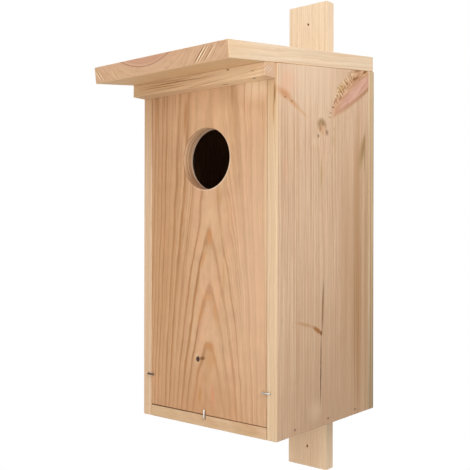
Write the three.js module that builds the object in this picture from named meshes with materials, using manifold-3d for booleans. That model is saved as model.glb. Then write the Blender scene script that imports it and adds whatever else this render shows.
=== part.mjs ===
// A wooden nest box for birds that breed in tree holes. Plain pine boards are nailed together
// into an upright box with a sloping roof. The front board has a round entrance and tilts out
// for cleaning once three bent nails are turned aside. A long lath down the back goes on a tree.
//
// Millimetres, +Z up, +Y towards the tree, so the entrance looks along -Y. The origin is the
// middle of the lath's back face.

import * as THREE from 'three';
import { mergeVertices } from 'three/addons/utils/BufferGeometryUtils.js';
import Module from 'manifold-3d';

const wasm = await Module();
wasm.setup();

// Walls
const boxWidth = 240;
const sideDepth = 231;
const sideThickness = 16;
const backThickness = 16;
const floorThickness = 15.5;
const jointGap = 0.1;

// Front board
const frontThickness = 20;
const frontSideGap = 0.6;
const frontBottomGap = 0.8;
const frontSetback = 0.3;
const frontTuck = 17;
const entranceDiameter = 84;
const entranceHeight = 364;
const woodOverEntrance = 71;

// Roof board: its slope falls to the front, where its end is cut square
const roofSlope = THREE.MathUtils.degToRad(7.1);
const roofThickness = 22;
const roofSideInset = 1.5;
const roofOverhang = 92.5;
const roofSeat = 0.3;

// Batten under the roof, across the top of the front board
const battenEndInset = 2;
const battenHeight = 16.4;
const battenDepth = 23;

// Lath on the back, with a pilot hole near each end
const lathWidth = 73;
const lathThickness = 20;
const lathLength = 744;
const lathBelow = 111.5;
const pilotDiameter = 4;
const pilotInset = 32;

// Drain holes near the floor's corners
const drainDiameter = 8;
const drainInset = 34;

// Eased edges of every sawn board
const arris = 0.6;

// Brads: thin nails with small heads, punched just below the surface
const bradLength = 40;
const lathBradLength = 32;
const bradDiameter = 2;
const bradHeadDiameter = 3.4;
const bradHeadHeight = 1.2;
const bradPoint = 3;
const bradSink = 1;
const bradClearance = 0.3;

// Bent nails that turn in the frame's front edges. Each arm stops short of the front board,
// so that the board and every nail can be moved on its own.
const turnNailDiameter = 2;
const turnNailDepth = 28;
const turnNailBend = 2;
const turnNailStand = 0.3;
const turnNailHeight = 60;
const turnNailInset = 10;
const bottomNailHeight = 11.5;
const armClearance = 0.3;

// Places of the brads, as shares of the board that they run along
const floorBradShares = [0.175, 0.52, 0.835];
const sideBradShares = [0.11, 0.5, 0.88];
const roofBradShares = [0.14, 0.52, 0.88];
const backBradShare = 0.25;
const lathBradHeightShares = [0.12, 0.88];
const lathBradWidthShare = 0.28;

// How far a cutter runs past the face that it opens
const overrun = 1;

// Corners closer than this are one corner
const weld = 0.0001;

// Flat facets round each kind of circle
const entranceFacets = 64;
const drillFacets = 16;
const nailFacets = 10;
const nailSteps = 30;

// Places that follow from the sizes
const slopeRise = Math.tan(roofSlope);
const slopeLength = Math.cos(roofSlope);
const frontHeight = entranceHeight + entranceDiameter / 2 + woodOverEntrance;
const halfWidth = boxWidth / 2;
const roofWidth = boxWidth - 2 * roofSideInset;
const battenLength = boxWidth - 2 * battenEndInset;
const innerHalfWidth = halfWidth - sideThickness;
const backFront = sideDepth + jointGap;
const backRear = backFront + backThickness;
const lathFront = backRear + jointGap;
const lathRear = lathFront + lathThickness;
const lathMiddle = lathLength / 2 - lathBelow;
const roofUnder = (y) => frontHeight + y * slopeRise;
const battenTop = roofUnder(-battenDepth) - roofSeat;
const battenBottom = battenTop - battenHeight;
const frontBottom = floorThickness + frontBottomGap;
const frontTop = battenBottom + frontTuck;
const frontHalfWidth = innerHalfWidth - frontSideGap;

// Paints for a plain view of the model
function timber(color) {
  return new THREE.MeshStandardMaterial({ color, roughness: 0.75, metalness: 0 });
}
function steel(color) {
  return new THREE.MeshStandardMaterial({ color, roughness: 0.35, metalness: 1 });
}
const finishes = {
  front: timber('#d2a679'),
  side: timber('#d9b48f'),
  frame: timber('#d5b386'),
  roof: timber('#ebcfae'),
  lath: timber('#e6c79d'),
  brad: steel('#8d8a86'),
  turnNail: steel('#b9b4ae'),
};

// Turns that lay a flat outline in the plane of each kind of board
const acrossWidth = new THREE.Euler(Math.PI / 2, Math.PI / 2, 0);
const acrossDepth = new THREE.Euler(Math.PI / 2, 0, 0);
const upright = new THREE.Euler(0, 0, 0);

// A closed mesh as a solid that can be joined and cut
function solidOf(geometry, matrix) {
  const bare = geometry.clone();
  bare.deleteAttribute('normal');
  bare.deleteAttribute('uv');
  bare.applyMatrix4(matrix);
  const merged = mergeVertices(bare, weld);
  const index = merged.getIndex().array;
  const corners = [];
  for (let i = 0; i < index.length; i += 3) {
    const [a, b, c] = [index[i], index[i + 1], index[i + 2]];
    if (a !== b && b !== c && c !== a) corners.push(a, b, c);
  }
  const vertProperties = Float32Array.from(merged.getAttribute('position').array);
  const triVerts = Uint32Array.from(corners);
  return new wasm.Manifold(new wasm.Mesh({ numProp: 3, vertProperties, triVerts }));
}

function geometryOf(solid) {
  const { vertProperties, triVerts } = solid.getMesh();
  const geometry = new THREE.BufferGeometry();
  geometry.setAttribute('position', new THREE.BufferAttribute(vertProperties, 3));
  geometry.setIndex(new THREE.BufferAttribute(triVerts, 1));
  geometry.computeVertexNormals();
  return geometry;
}

// A named piece, added to its group
function piece(parent, name, geometry, material, turn, x, y, z) {
  const mesh = new THREE.Mesh(geometry, material);
  mesh.name = name;
  mesh.rotation.copy(turn);
  mesh.position.set(x, y, z);
  parent.add(mesh);
  return mesh;
}

// A rectangle from its lower left corner
function rectangle(x, y, width, height) {
  const shape = new THREE.Shape();
  shape.moveTo(x, y);
  shape.lineTo(x + width, y);
  shape.lineTo(x + width, y + height);
  shape.lineTo(x, y + height);
  shape.closePath();
  return shape;
}

function polygon(points) {
  return new THREE.Shape(points.map(([x, y]) => new THREE.Vector2(x, y)));
}

function roundHole(x, y, diameter) {
  const hole = new THREE.Path();
  hole.absarc(x, y, diameter / 2, 0, 2 * Math.PI, true);
  return hole;
}

// A board: its outline carried through its thickness, with the edges of both faces eased
function board(shape, thickness, facets) {
  const geometry = new THREE.ExtrudeGeometry(shape, {
    depth: thickness - 2 * arris,
    bevelThickness: arris,
    bevelSize: arris,
    bevelOffset: -arris,
    bevelSegments: 1,
    curveSegments: facets,
  });
  geometry.translate(0, 0, arris);
  return geometry;
}

// The object's own group, and the box's: x from the middle, y from the front, z from below
const nestBox = new THREE.Group();
const box = new THREE.Group();
box.position.set(0, -lathRear, -lathMiddle);
nestBox.add(box);

// Roof group: y runs up along the underside from the front of the box, z is square to it
const roofGroup = new THREE.Group();
roofGroup.position.set(0, 0, frontHeight);
roofGroup.rotation.x = roofSlope;
box.add(roofGroup);

// Side panels: the top edge follows the roof
function sidePanel(name, x) {
  const outline = polygon([
    [0, 0], [sideDepth, 0], [sideDepth, roofUnder(sideDepth)], [0, roofUnder(0)],
  ]);
  return piece(box, name, board(outline, sideThickness), finishes.side, acrossWidth, x, 0, 0);
}
const leftSide = sidePanel('left_side_panel', -halfWidth);
const rightSide = sidePanel('right_side_panel', halfWidth - sideThickness);

// Back panel: it covers the back edges of both side panels and of the floor
const backOutline = polygon([
  [backFront, 0], [backRear, 0], [backRear, roofUnder(backRear)], [backFront, roofUnder(backFront)],
]);
const backGeometry = board(backOutline, boxWidth);
const back = piece(box, 'back_panel', backGeometry, finishes.side, acrossWidth, -halfWidth, 0, 0);

// Floor board: it sits between the side panels, and its front edge shows below the front board
const floorHalfWidth = innerHalfWidth - jointGap;
const floorOutline = rectangle(-floorHalfWidth, 0, 2 * floorHalfWidth, sideDepth);
for (const x of [-floorHalfWidth + drainInset, floorHalfWidth - drainInset]) {
  for (const y of [drainInset, sideDepth - drainInset]) {
    floorOutline.holes.push(roundHole(x, y, drainDiameter));
  }
}
const floorGeometry = board(floorOutline, floorThickness, drillFacets / 2);
const floor = piece(box, 'floor_board', floorGeometry, finishes.frame, upright, 0, 0, 0);

// Front board: its top edge stands behind the batten
const frontOutline = rectangle(-frontHalfWidth, frontBottom, 2 * frontHalfWidth, frontTop - frontBottom);
frontOutline.holes.push(roundHole(0, entranceHeight, entranceDiameter));
const frontGeometry = board(frontOutline, frontThickness, entranceFacets / 2);
piece(box, 'front_panel', frontGeometry, finishes.front, acrossDepth, 0, frontSetback + frontThickness, 0);

// Roof board: plumb at the back, where it meets the lath, and cut square in front
const roofBack = (height) => (backRear + height * Math.sin(roofSlope)) / slopeLength;
const roofTop = roofSeat + roofThickness;
const roofProfile = polygon([
  [-roofOverhang, roofSeat], [roofBack(roofSeat), roofSeat], [roofBack(roofTop), roofTop],
  [-roofOverhang, roofTop],
]);
const roofGeometry = board(roofProfile, roofWidth);
const roof = piece(roofGroup, 'roof_board', roofGeometry, finishes.roof, acrossWidth, -roofWidth / 2, 0, 0);

// Batten: nailed on the side panels' front edges
const battenOutline = rectangle(-battenLength / 2, battenBottom, battenLength, battenHeight);
const battenGeometry = board(battenOutline, battenDepth);
const batten = piece(box, 'top_batten', battenGeometry, finishes.frame, acrossDepth, 0, -jointGap, 0);

// Mounting lath
const lathOutline = rectangle(-lathWidth / 2, -lathBelow, lathWidth, lathLength);
for (const z of [pilotInset - lathBelow, lathLength - lathBelow - pilotInset]) {
  lathOutline.holes.push(roundHole(0, z, pilotDiameter));
}
const lathGeometry = board(lathOutline, lathThickness, drillFacets / 2);
const lath = piece(box, 'mounting_lath', lathGeometry, finishes.lath, acrossDepth, 0, lathRear, 0);

// Cut a tool, given in the tool's own frame, out of a board
nestBox.updateMatrixWorld(true);
function drill(target, tool, toolMatrix) {
  const place = target.matrixWorld.clone().invert().multiply(toolMatrix);
  const cut = solidOf(target.geometry, new THREE.Matrix4()).subtract(solidOf(tool, place));
  target.geometry = geometryOf(cut);
}

// A brad stands along its own Z, its point down, with the board's surface at zero
function bradGeometry(length, clearance, mouth) {
  const shank = bradDiameter / 2 + clearance;
  const head = bradHeadDiameter / 2 + clearance;
  const top = mouth ? overrun : -bradSink;
  const neck = -bradSink - bradHeadHeight - clearance;
  const tip = -bradSink - length - clearance;
  const profile = [[0, tip], [shank, tip + bradPoint], [shank, neck], [head, neck], [head, top], [0, top]];
  return new THREE.LatheGeometry(profile.map(([r, z]) => new THREE.Vector2(r, z)), nailFacets);
}

// Lathes turn round Y: these turns stand a brad or a drill along the way that its head looks
const looking = {
  up: new THREE.Euler(Math.PI / 2, 0, 0),
  right: new THREE.Euler(0, 0, -Math.PI / 2),
  left: new THREE.Euler(0, 0, Math.PI / 2),
  front: new THREE.Euler(Math.PI, 0, 0),
  back: new THREE.Euler(0, 0, 0),
};

function addBrad(parent, name, way, x, y, z, boards, length = bradLength) {
  const brad = piece(parent, name, bradGeometry(length, 0, false), finishes.brad, looking[way], x, y, z);
  brad.updateWorldMatrix(true, false);
  for (const target of boards) drill(target, bradGeometry(length, bradClearance, true), brad.matrixWorld);
}

// Each side panel is nailed to the floor's end, and takes nails from the back panel, roof and batten
const edgeMiddle = halfWidth - sideThickness / 2;
const floorMiddle = floorThickness / 2;
const backMiddle = (backFront + backThickness / 2) / slopeLength;
const battenMiddle = battenBottom + battenHeight / 2;
const battenFront = -jointGap - battenDepth;
for (const [hand, side, sign] of [['left', leftSide, -1], ['right', rightSide, 1]]) {
  const face = sign * halfWidth;
  const edge = sign * edgeMiddle;
  const inward = sign * backBradShare * boxWidth;
  const lathPlace = sign * lathBradWidthShare * lathWidth;
  floorBradShares.forEach((share, i) => {
    addBrad(box, `${hand}_floor_brad_${i + 1}`, hand, face, share * sideDepth, floorMiddle, [side, floor]);
  });
  sideBradShares.forEach((share, i) => {
    addBrad(box, `${hand}_back_brad_${i + 1}`, 'back', edge, backRear, share * frontHeight, [back, side]);
  });
  roofBradShares.forEach((share, i) => {
    addBrad(roofGroup, `${hand}_roof_brad_${i + 1}`, 'up', edge, share * sideDepth, roofTop, [roof, side]);
  });
  addBrad(box, `${hand}_batten_brad`, 'front', edge, battenFront, battenMiddle, [batten, side]);
  addBrad(box, `${hand}_back_floor_brad`, 'back', inward, backRear, floorMiddle, [back, floor]);
  addBrad(roofGroup, `${hand}_roof_back_brad`, 'up', inward, backMiddle, roofTop, [roof, back]);
  lathBradHeightShares.forEach((share, i) => {
    const height = share * frontHeight;
    const boards = [lath, back];
    addBrad(box, `${hand}_lath_brad_${i + 1}`, 'back', lathPlace, lathRear, height, boards, lathBradLength);
  });
}

// A bent nail: a straight shank along +Y, a round bend in front of the wood, and an arm along +X
function turnNailGeometry(armLength) {
  const bendStart = -turnNailStand;
  const armPlace = bendStart - turnNailBend;
  const path = new THREE.CurvePath();
  path.add(new THREE.LineCurve3(new THREE.Vector3(0, turnNailDepth, 0), new THREE.Vector3(0, bendStart, 0)));
  path.add(new THREE.QuadraticBezierCurve3(
    new THREE.Vector3(0, bendStart, 0),
    new THREE.Vector3(0, armPlace, 0),
    new THREE.Vector3(turnNailBend, armPlace, 0),
  ));
  path.add(new THREE.LineCurve3(
    new THREE.Vector3(turnNailBend, armPlace, 0),
    new THREE.Vector3(armLength, armPlace, 0),
  ));
  const section = new THREE.Shape();
  section.absarc(0, 0, turnNailDiameter / 2, 0, 2 * Math.PI, false);
  return new THREE.ExtrudeGeometry(section, {
    steps: nailSteps, bevelEnabled: false, extrudePath: path, curveSegments: nailFacets / 2,
  });
}

// A plain hole for its shank
function shankDrill() {
  const length = turnNailDepth + armClearance + overrun;
  const radius = turnNailDiameter / 2 + bradClearance;
  const drillGeometry = new THREE.CylinderGeometry(radius, radius, length, drillFacets);
  drillGeometry.translate(0, length / 2 - overrun, 0);
  return drillGeometry;
}

function addTurnNail(name, x, z, angle, armLength, target) {
  const turn = new THREE.Euler(0, angle, 0);
  const nail = piece(box, name, turnNailGeometry(armLength), finishes.turnNail, turn, x, 0, z);
  nail.updateWorldMatrix(true, false);
  drill(target, shankDrill(), nail.matrixWorld);
}

// The front board's lower back edge dips a little as it tilts, so the bottom arm stops further off
const frontDrop = battenBottom - frontBottom;
const frontDip = Math.hypot(frontDrop, frontSetback + frontThickness) - frontDrop;
const nailPlace = halfWidth - turnNailInset;
const sideArm = nailPlace - frontHalfWidth - armClearance;
const bottomArm = frontBottom - bottomNailHeight - frontDip - armClearance;
addTurnNail('left_turn_nail', -nailPlace, turnNailHeight, 0, sideArm, leftSide);
addTurnNail('right_turn_nail', nailPlace, turnNailHeight, Math.PI, sideArm, rightSide);
addTurnNail('bottom_turn_nail', 0, bottomNailHeight, -Math.PI / 2, bottomArm, floor);

export default nestBox;
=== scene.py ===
"""A wooden nest box for birds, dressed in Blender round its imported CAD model.

Everything is in metres in the CAD's frame: the middle of the lath's back face is the origin, +Y goes
to the tree and +Z up along the lath. Wood patterns are worked out in millimetres on each board.
"""

from functools import partial
from math import cos, degrees, radians, sin, tan

import bmesh
import bpy
from bpy.props import FloatProperty, FloatVectorProperty, IntProperty, PointerProperty
from mathutils import Matrix, Vector


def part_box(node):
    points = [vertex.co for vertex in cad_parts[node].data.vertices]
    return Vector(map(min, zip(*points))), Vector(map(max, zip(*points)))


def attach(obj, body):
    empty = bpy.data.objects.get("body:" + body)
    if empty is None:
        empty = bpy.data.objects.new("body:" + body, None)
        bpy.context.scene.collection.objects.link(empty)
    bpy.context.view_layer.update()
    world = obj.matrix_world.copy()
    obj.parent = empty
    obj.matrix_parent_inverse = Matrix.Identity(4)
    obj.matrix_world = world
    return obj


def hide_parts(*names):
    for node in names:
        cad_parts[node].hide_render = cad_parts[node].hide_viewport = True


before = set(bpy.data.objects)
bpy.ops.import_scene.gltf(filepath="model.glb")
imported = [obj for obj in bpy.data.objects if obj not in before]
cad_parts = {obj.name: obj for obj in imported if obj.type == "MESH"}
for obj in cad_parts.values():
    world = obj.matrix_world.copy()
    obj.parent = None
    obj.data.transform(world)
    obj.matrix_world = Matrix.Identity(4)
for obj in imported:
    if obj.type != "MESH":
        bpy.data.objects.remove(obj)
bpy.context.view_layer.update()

bl_info = {
    "name": "Nest box",
    "version": (1, 0, 0),
    "blender": (4, 5, 0),
    "location": "View3D > Sidebar > Nest Box",
    "description": "Builds the boards, brads and bent nails of a wooden nest box",
    "category": "Object",
}

MM = 0.001

# Corners of the CAD's boards, which the Blender boards stand in
FRONT_LOW, FRONT_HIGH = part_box("front_panel")
SIDE_LOW, SIDE_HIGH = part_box("right_side_panel")
LEFT_LOW, LEFT_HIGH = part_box("left_side_panel")
BACK_LOW, BACK_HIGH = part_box("back_panel")
FLOOR_LOW, FLOOR_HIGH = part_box("floor_board")
ROOF_LOW, ROOF_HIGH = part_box("roof_board")
BATTEN_LOW, BATTEN_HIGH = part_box("top_batten")
LATH_LOW, LATH_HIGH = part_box("mounting_lath")

# The box's point of reference: the foot of its front, on its middle line
FOOT = Vector((0, SIDE_LOW.y, SIDE_LOW.z))


def linear(code):
    """An sRGB hex colour as the linear RGBA that shaders and colour properties take."""
    parts = [int(code[i : i + 2], 16) / 255 for i in (1, 3, 5)]
    return tuple(p / 12.92 if p <= 0.04045 else ((p + 0.055) / 1.055) ** 2.4 for p in parts) + (1,)


def length(name, description, default):
    """A size in metres that a user may change."""
    return FloatProperty(name=name, description=description, default=default, min=0, max=1, precision=4, unit="LENGTH")


def tint(name, description, code):
    """A colour that a user may change."""
    return FloatVectorProperty(
        name=name, description=description, default=linear(code), size=4, min=0, max=1, subtype="COLOR"
    )


class NestBoxSizes(bpy.types.PropertyGroup):
    arris: length("Arris", "Width of the eased edges of the boards", 0.0009)
    front_arris: length("Front arris", "Width of the eased edges of the front board", 0.0006)
    near_arris: length("Side board arris", "Width of the eased edges of the two side boards", 0.0013)
    roof_slope: FloatProperty(
        name="Roof slope", description="Fall of the roof to the front", default=radians(7.1), unit="ROTATION"
    )
    roof_seat: length("Roof seat", "Gap between the roof and the side boards", 0.0003)
    roof_thickness: length("Roof thickness", "Thickness of the roof board", 0.022)
    roof_overhang: length("Roof overhang", "Overhang of the roof, along the slope", 0.0925)
    entrance_diameter: length("Entrance", "Diameter of the entrance", 0.084)
    entrance_height: length("Entrance height", "Middle of the entrance above the foot of the box", 0.364)
    front_swell: length("Front swell", "How far damp has swollen the front board into each seam", 0.0003)
    seam_lift: length("Seam lift", "How far the front board's lower left corner stands higher", 0.0008)
    drain_diameter: length("Drain holes", "Diameter of the drain holes in the floor", 0.008)
    drain_inset: length("Drain inset", "Distance of the drain holes from the floor's sides", 0.034)
    pilot_diameter: length("Pilot holes", "Diameter of the nail holes in the lath", 0.004)
    pilot_inset: length("Pilot inset", "Distance of the nail holes from the lath's ends", 0.032)
    brad_diameter: length("Brads", "Diameter of the thin nails in the joints", 0.002)
    brad_head: length("Brad heads", "Diameter of their heads", 0.0034)
    brad_play: length("Brad play", "Room round a brad in its hole", 0.0002)
    wire_diameter: length("Bent nails", "Diameter of the three bent nails", 0.0023)
    wire_bend: length("Bend", "Radius of the bend, at the wire's middle", 0.002)
    wire_arm: length("Arm", "Reach of the arm from the shank's middle", 0.0125)
    wire_depth: length("Nail depth", "Depth of the shank in the wood", 0.028)
    facets: IntProperty(name="Facets", description="Sides of the round cuts", default=128, min=16, max=256)


class NestBoxColours(bpy.types.PropertyGroup):
    front_wood: tint("Front wood", "Pale wood of the front board", "#D3A982")
    front_lines: tint("Front lines", "Dark lines in the front board", "#A57549")
    side_wood: tint("Side wood", "Pale wood of the side boards", "#ECCFB3")
    side_lines: tint("Side lines", "Dark lines in the side boards", "#BF9670")
    back_wood: tint("Back wood", "Pale wood of the back board", "#DABF98")
    floor_wood: tint("Floor wood", "Pale wood of the floor", "#D2B28C")
    # the batten's wood is lightened as painted light, against the shade under the roof
    batten_wood: tint("Batten wood", "Pale wood of the batten", "#F6D6B0")
    roof_wood: tint("Roof wood", "Pale wood of the roof", "#EBD3B6")
    lath_wood: tint("Lath wood", "Pale wood of the lath", "#FBE2C4")
    wire: tint("Bent nails", "Drawn steel of the bent nails", "#C9C6C2")
    brad: tint("Brads", "Dull steel of the brads", "#7A746E")
    ground: tint("Ground", "Floor and backdrop of the studio", "#F2F1EF")


# ---------------------------------------------------------------- modelling


def choose(*pieces):
    """Selects these pieces alone, and makes the first of them active."""
    bpy.ops.object.select_all(action="DESELECT")
    for piece in pieces:
        piece.select_set(True)
    if pieces:
        bpy.context.view_layer.objects.active = pieces[0]


def edit(piece, mode="FACE", test=None):
    """Opens a piece in edit mode with all of it selected, or the parts that pass the test."""
    choose(piece)
    bpy.ops.object.mode_set(mode="EDIT")
    bpy.ops.mesh.select_mode(type=mode)
    bpy.ops.mesh.select_all(action="SELECT" if test is None else "DESELECT")
    if test is not None:
        form = bmesh.from_edit_mesh(piece.data)
        parts = {"FACE": form.faces, "VERT": form.verts}[mode]
        for part in parts:
            if test(part):
                part.select_set(True)
        form.select_flush_mode()
        bmesh.update_edit_mesh(piece.data)


def leave():
    bpy.ops.object.mode_set(mode="OBJECT")


def settle(name):
    """Names the new object and puts its place into its mesh."""
    piece = bpy.context.object
    piece.name = piece.data.name = name
    bpy.ops.object.transform_apply(location=True, rotation=True, scale=True)
    return piece


def extrude(x=0, y=0, z=0):
    """Draws the chosen faces out."""
    bpy.ops.mesh.extrude_region_move(TRANSFORM_OT_translate={"value": (x, y, z)})


def block(name, low, high, slope=0.0):
    """A block between two corners. With a slope, the corners are given along and square to the roof."""
    middle = (Vector(low) + Vector(high)) / 2
    if slope:
        middle = roof_point(middle.x, middle.y, middle.z, slope)
    choose()
    bpy.ops.mesh.primitive_cube_add(
        size=1, location=middle, rotation=(slope, 0, 0), scale=Vector(high) - Vector(low)
    )
    return settle(name)


def eaves():
    """Where the roof's underside would meet the front of the box, on its middle line."""
    sizes = bpy.context.scene.nest_box_sizes
    depth = SIDE_HIGH.y - SIDE_LOW.y
    return Vector((0, SIDE_LOW.y, SIDE_HIGH.z - depth * tan(sizes.roof_slope)))


def roof_point(x, along, above, slope):
    """A point given along the roof's slope from the eaves and square above it."""
    return eaves() + Vector((x, along * cos(slope) - above * sin(slope), along * sin(slope) + above * cos(slope)))


def roof_normal(slope):
    """The way that the roof's top looks."""
    return Vector((0, -sin(slope), cos(slope)))


def saw(piece, point, normal):
    """Cuts away what lies on the normal's side of a plane, and closes the cut."""
    edit(piece)
    bpy.ops.mesh.bisect(plane_co=point, plane_no=normal, use_fill=True, clear_outer=True)
    leave()


def drill_rod(point, way, depth, diameter, sides=24):
    """A round cutter from a point on the surface into the wood, standing a little proud of it."""
    proud = MM
    way = Vector(way).normalized()
    choose()
    bpy.ops.mesh.primitive_cylinder_add(
        vertices=sides,
        radius=diameter / 2,
        depth=depth + proud,
        location=Vector(point) + way * (depth - proud) / 2,
        rotation=way.to_track_quat("Z", "Y").to_euler(),
    )
    return settle("drill_rod")


def bore(piece, rods):
    """Takes the cutters out of a piece in one cut."""
    choose(*rods)
    if len(rods) > 1:
        bpy.ops.object.join()
    tool = bpy.context.object
    cut = piece.modifiers.new("Bore", "BOOLEAN")
    cut.operation = "DIFFERENCE"
    cut.solver = "EXACT"
    cut.use_self = True
    cut.object = tool
    apply_modifier(piece, cut)
    bpy.data.objects.remove(tool)


def apply_modifier(piece, modifier):
    choose(piece)
    bpy.ops.object.modifier_apply(modifier=modifier.name)


def ease(piece, width):
    """Rounds the sawn edges, as a pass with sandpaper leaves them."""
    arris = piece.modifiers.new("Arris", "BEVEL")
    arris.width = width
    arris.segments = 3
    arris.limit_method = "ANGLE"
    arris.angle_limit = radians(40)
    arris.miter_outer = "MITER_ARC"
    arris.use_clamp_overlap = True
    apply_modifier(piece, arris)


def finish_piece(piece, body, node, materials, inside=None):
    """Smooths a finished piece, paints it and hands it to its body.

    Faces that look the way of inside, into the box, get the last material.
    """
    same_way = 0.99
    edit(piece)
    bpy.ops.mesh.normals_make_consistent(inside=False)
    leave()
    bpy.ops.object.shade_smooth_by_angle(angle=radians(32))
    weights = piece.modifiers.new("Flat faces", "WEIGHTED_NORMAL")
    weights.keep_sharp = True
    apply_modifier(piece, weights)
    for material in materials:
        piece.data.materials.append(material)
    for face in piece.data.polygons:
        if inside and face.normal.dot(Vector(inside)) > same_way:
            face.material_index = len(materials) - 1
    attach(piece, body)
    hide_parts(node)


def finish_board(board, sizes, node, materials, arris, inside=None):
    """Eases a fixed board's edges, drills it for its nails and finishes it."""
    ease(board, arris)
    bore(board, nail_rods(sizes, node))
    finish_piece(board, "frame", node, materials, inside)


def take_form(pattern, angle):
    """Smooths a pattern and gives back its mesh without the object."""
    bpy.ops.object.shade_smooth_by_angle(angle=radians(angle))
    form = pattern.data.copy()
    bpy.data.objects.remove(pattern)
    return form


def place_copy(form, name, place, material, body, node):
    """Sets a copy of a pattern's mesh in its place, for one node of the CAD."""
    piece = bpy.data.objects.new(name, form.copy())
    bpy.context.scene.collection.objects.link(piece)
    piece.data.transform(place)
    piece.data.materials.append(material)
    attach(piece, body)
    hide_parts(node)


# ---------------------------------------------------------------- materials


def add_node(tree, kind, *inputs, out=0, **settings):
    """Adds a node, sets it up, fills or links its inputs, and gives back one of its outputs.

    Inputs are given in their order. A dictionary at the end gives more by their name or number.
    """
    node = tree.nodes.new("ShaderNode" + kind)
    for key, value in settings.items():
        setattr(node, key, value)
    values = dict(enumerate(inputs))
    if inputs and isinstance(inputs[-1], dict):
        values.update(values.pop(len(inputs) - 1))
    for key, value in values.items():
        if isinstance(value, bpy.types.NodeSocket):
            tree.links.new(value, node.inputs[key])
        else:
            node.inputs[key].default_value = value
    return node.outputs[out] if node.outputs else None


def new_material(name):
    """A material, and the function that adds nodes to it."""
    material = bpy.data.materials.new(name)
    material.use_nodes = True
    material.node_tree.nodes.clear()
    return material, partial(add_node, material.node_tree)


def board_place(add, foot, turn=(0, 0, 0)):
    """Millimetres from a board's foot, along the board's own axes."""
    return add("Mapping", {"Vector": add("TexCoord", out=3), "Location": foot, "Rotation": turn, "Scale": (MM, MM, MM)},
               vector_type="TEXTURE")


def ellipse(add, place, centre, half, turn=0, soft=0.5, roll=0):
    """1 inside an ellipsoid in a board's wood, falling to 0 at its rim.

    The turn is in the board's face, upper end to the right; the roll is in its end grain.
    """
    local = add("Mapping",
                {"Vector": place, "Location": centre, "Rotation": (0, radians(turn), radians(roll)), "Scale": half},
                vector_type="TEXTURE")
    inside = add("TexGradient", local, out=1, gradient_type="SPHERICAL")
    return add("MapRange", inside, 0, soft, 0, 1, interpolation_type="SMOOTHSTEP")


def tone(add, colour, mask, code, strength=1.0, blend="MIX"):
    """Lays a colour over another where the mask says, at most at the strength given."""
    share = add("Math", mask, strength, operation="MULTIPLY")
    paint = linear(code) if isinstance(code, str) else code
    return add("Mix", share, {6: colour, 7: paint}, out=2, data_type="RGBA", blend_type=blend)


def drift(add, place, scale, seed, size):
    """A smooth random shift of up to about half the size, with its own scale along and across."""
    at = add("VectorMath", place, scale, operation="MULTIPLY")
    cloud = add("TexNoise", {"Vector": at, "Scale": 1.0, "Detail": 2.0, "W": seed}, out=1, noise_dimensions="4D")
    cloud = add("VectorMath", cloud, (0.5, 0.5, 0.5), operation="SUBTRACT")
    return add("VectorMath", cloud, size, operation="MULTIPLY")


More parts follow.
